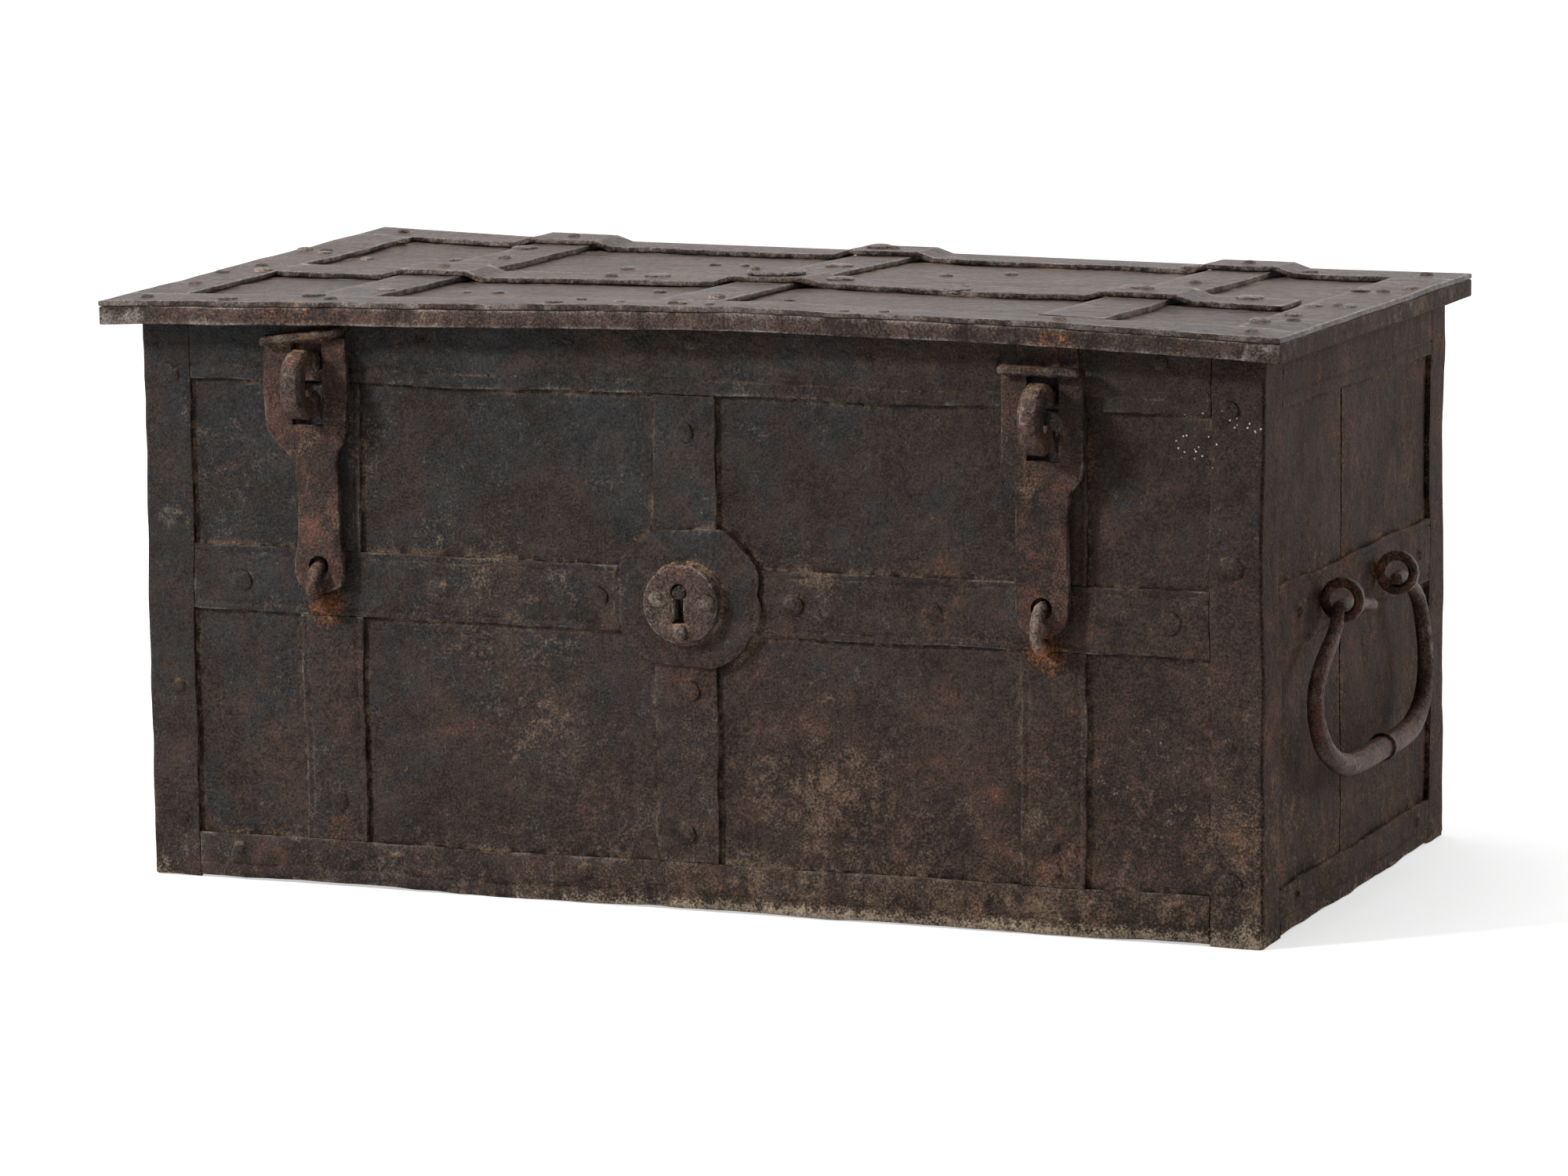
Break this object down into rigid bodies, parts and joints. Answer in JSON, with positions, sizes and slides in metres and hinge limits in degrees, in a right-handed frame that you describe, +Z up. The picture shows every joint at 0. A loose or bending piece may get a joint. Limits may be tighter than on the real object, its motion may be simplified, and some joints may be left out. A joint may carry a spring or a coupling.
{
  "type": "strongbox",
  "caption": "Wrought-iron strongbox of riveted sheets and straps, with a hinged lid, hasps over hooks, side drop handles and a key-turned spiral cam that throws bolts under the rim",
  "frame": {"origin": "middle of the box's whole extent in X and Y, at the level that its four corner irons stand on", "axes": "+X to the right as seen from the front, -Y out of the front, +Z up"},
  "size_m": [0.9146, 0.5149, 0.4405],
  "materials": {
    "iron": "aged dark brown iron, satin with a dusty rust bloom",
    "iron_dark": "blue-black forge skin, satin",
    "iron_rusty": "brown rusted iron, matt",
    "iron_worn": "grey-brown worn iron, satin"
  },
  "bodies": {
    "box": {"front_sheet": "iron_dark", "back_sheet": "iron_dark", "left_side_sheet": "iron_dark", "right_side_sheet": "iron_dark", "floor_sheet": "iron_dark", "corner_iron_front_left": "iron_dark", "corner_iron_back_left": "iron_dark", "corner_iron_front_right": "iron", "corner_iron_back_right": "iron", "rim_front": "iron_dark", "rim_back": "iron_dark", "rim_left": "iron", "rim_right": "iron", "waist_band_front": "iron_dark", "waist_band_back": "iron_dark", "waist_band_left": "iron", "waist_band_right": "iron", "foot_band_front": "iron_dark", "foot_band_back": "iron_dark", "foot_band_left": "iron", "foot_band_right": "iron", "upright_left_lower": "iron_rusty", "upright_left_upper": "iron_rusty", "upright_right_lower": "iron_rusty", "upright_right_upper": "iron_rusty", "upright_centre": "iron_dark", "false_keyhole_boss": "iron", "hasp_staple_left": "iron_rusty", "hasp_staple_right": "iron_rusty", "handle_eye_left_front": "iron", "handle_eye_left_rear": "iron", "handle_eye_right_front": "iron", "handle_eye_right_rear": "iron", "back_hinge_strap_left": "iron", "back_hinge_strap_right": "iron"},
    "lid": {"lid_hook_left": "iron_rusty", "lid_hook_right": "iron_rusty", "lid_sheet": "iron_worn", "lid_skirt": "iron_rusty", "lid_strap_front": "iron_worn", "lid_strap_left": "iron_worn", "lid_strap_right": "iron_worn", "lid_strap_back": "iron_worn", "lid_cross_strap_left": "iron_worn", "lid_cross_strap_centre": "iron_worn", "lid_cross_strap_right": "iron_worn", "lid_strap_long": "iron_worn", "lock_plate": "iron_worn", "lock_cover": "iron_worn"},
    "hasp_left": {"hasp_left": "iron_rusty"},
    "hasp_right": {"hasp_right": "iron_rusty"},
    "handle_left": {"handle_left": "iron"},
    "handle_right": {"handle_right": "iron"},
    "keyhole_cover": {"keyhole_cover": "iron"},
    "lock_hub": {"lock_hub": "iron_worn"},
    "slide_front": {"bolt_slide_front": "iron_worn"},
    "slide_back": {"bolt_slide_back": "iron_worn"},
    "slide_left": {"bolt_slide_left": "iron_worn"},
    "slide_right": {"bolt_slide_right": "iron_worn"}
  },
  "joints": [
    {"name": "lid_hinge", "type": "hinge", "parent": "box", "child": "lid", "pos_m": [0, 0.24965, 0.412], "axis": [-1, 0, 0], "range_deg": [0, 100]},
    {"name": "hasp_hinge_left", "type": "hinge", "parent": "box", "child": "hasp_left", "pos_m": [-0.28008, -0.21985, 0.2225], "axis": [1, 0, 0], "range_deg": [0, 172]},
    {"name": "hasp_hinge_right", "type": "hinge", "parent": "box", "child": "hasp_right", "pos_m": [0.26945, -0.21985, 0.2163], "axis": [1, 0, 0], "range_deg": [0, 172]},
    {"name": "handle_swing_left", "type": "hinge", "parent": "box", "child": "handle_left", "pos_m": [-0.4413, -0.00911, 0.2212], "axis": [0, 1, 0], "range_deg": [-3, 165]},
    {"name": "handle_swing_right", "type": "hinge", "parent": "box", "child": "handle_right", "pos_m": [0.4413, -0.00911, 0.2212], "axis": [0, -1, 0], "range_deg": [-3, 165]},
    {"name": "cover_swivel", "type": "hinge", "parent": "lid", "child": "keyhole_cover", "pos_m": [-0.02049, -0.02216, 0.4357], "axis": [0, 0, 1], "range_deg": [0, 120]},
    {"name": "key_turn", "type": "hinge", "parent": "lid", "child": "lock_hub", "pos_m": [-0.004, -0.02216, 0.4008], "axis": [0, 0, 1], "range_deg": [0, 60]},
    {"name": "bolts_front", "type": "slide", "parent": "lid", "child": "slide_front", "axis": [0, -1, 0], "range_m": [0, 0.012]},
    {"name": "bolts_back", "type": "slide", "parent": "lid", "child": "slide_back", "axis": [0, 1, 0], "range_m": [0, 0.012]},
    {"name": "bolts_left", "type": "slide", "parent": "lid", "child": "slide_left", "axis": [-1, 0, 0], "range_m": [0, 0.012]},
    {"name": "bolts_right", "type": "slide", "parent": "lid", "child": "slide_right", "axis": [1, 0, 0], "range_m": [0, 0.012]}
  ],
  "couplings": [
    {"joint": "bolts_front", "follows": "key_turn", "m_per_rad": 0.011459},
    {"joint": "bolts_back", "follows": "key_turn", "m_per_rad": 0.011459},
    {"joint": "bolts_left", "follows": "key_turn", "m_per_rad": 0.011459},
    {"joint": "bolts_right", "follows": "key_turn", "m_per_rad": 0.011459}
  ]
}
